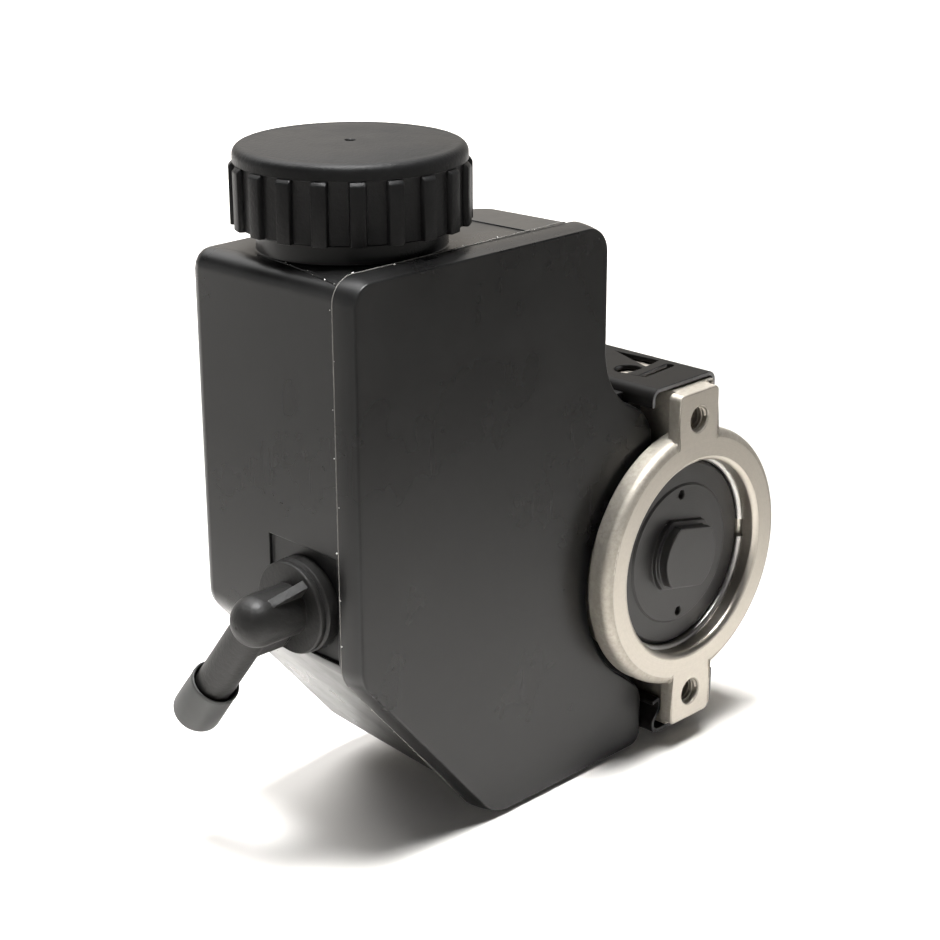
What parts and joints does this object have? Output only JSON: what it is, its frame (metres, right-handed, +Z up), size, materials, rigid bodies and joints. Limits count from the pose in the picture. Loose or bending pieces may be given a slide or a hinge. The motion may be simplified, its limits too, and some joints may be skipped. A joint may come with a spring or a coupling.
{
  "type": "power steering pump",
  "caption": "Vane-type power steering pump with a cast housing, drive shaft and clip-on moulded fluid reservoir with screw cap and return connection.",
  "frame": {"origin": "centre of the machined rear face on the shaft axis, midway between the two tapped ears", "axes": "+Y along the shaft towards the pulley, +Z up from the lower ear to the upper ear, +X away from the reservoir"},
  "size_m": [0.1822, 0.118, 0.1677],
  "materials": {
    "cast_aluminium": "pale casting with machined faces",
    "black_steel": "satin black coating",
    "spring_steel": "drawn wire",
    "machined_steel": "ground and turned",
    "plated_steel": "zinc plated",
    "bearing_bronze": "plain bearing bronze",
    "nitrile_rubber": "matt",
    "black_nylon": "satin moulding",
    "cap_plastic": "satin moulding",
    "elbow_plastic": "smooth moulding",
    "grey_plastic": "soft moulding"
  },
  "bodies": {
    "pump": {"pump_housing": "cast_aluminium", "end_cover": "black_steel", "upper_clip": "black_steel", "lower_clip": "black_steel", "retaining_ring": "spring_steel", "pressure_plate_spring": "spring_steel", "flow_valve_spring": "spring_steel", "pressure_plate": "machined_steel", "cam_ring": "machined_steel", "thrust_plate": "machined_steel", "dowel_pins": "machined_steel", "outlet_fitting": "plated_steel", "shaft_bush": "bearing_bronze", "end_cover_seal": "nitrile_rubber", "pressure_plate_seal": "nitrile_rubber", "shaft_seal": "nitrile_rubber", "outlet_seal": "nitrile_rubber", "supply_seal": "nitrile_rubber", "reservoir_body": "black_nylon", "reservoir_lid": "black_nylon", "return_elbow": "elbow_plastic", "dust_cap": "grey_plastic"},
    "rotor": {"drive_shaft": "machined_steel", "rotor": "machined_steel", "rotor_clip": "spring_steel", "vane_1": "machined_steel", "vane_2": "machined_steel", "vane_3": "machined_steel", "vane_4": "machined_steel", "vane_5": "machined_steel", "vane_6": "machined_steel", "vane_7": "machined_steel", "vane_8": "machined_steel", "vane_9": "machined_steel", "vane_10": "machined_steel"},
    "spool": {"flow_valve_spool": "machined_steel"},
    "cap_thread": {"cap_seal": "nitrile_rubber"},
    "cap": {"filler_cap": "cap_plastic", "cap_dipstick": "black_nylon"}
  },
  "joints": [
    {"name": "shaft_turn", "type": "hinge", "parent": "pump", "child": "rotor", "pos_m": [0, 0.06, 0], "axis": [0, 1, 0], "continuous": true},
    {"name": "valve_slide", "type": "slide", "parent": "pump", "child": "spool", "axis": [0, 0, 1], "range_m": [0, 0.006], "stiffness_N_per_m": 2000, "springref_m": -0.004, "deforming": ["flow_valve_spring"]},
    {"name": "cap_rise", "type": "slide", "parent": "pump", "child": "cap_thread", "axis": [0, 0, 1], "range_m": [0, 0.005]},
    {"name": "cap_turn", "type": "hinge", "parent": "cap_thread", "child": "cap", "pos_m": [-0.0815, 0.0391, 0.1], "axis": [0, 0, 1], "range_deg": [0, 455]}
  ],
  "couplings": [
    {"joint": "cap_turn", "follows": "cap_rise", "rad_per_m": 1570.8}
  ]
}
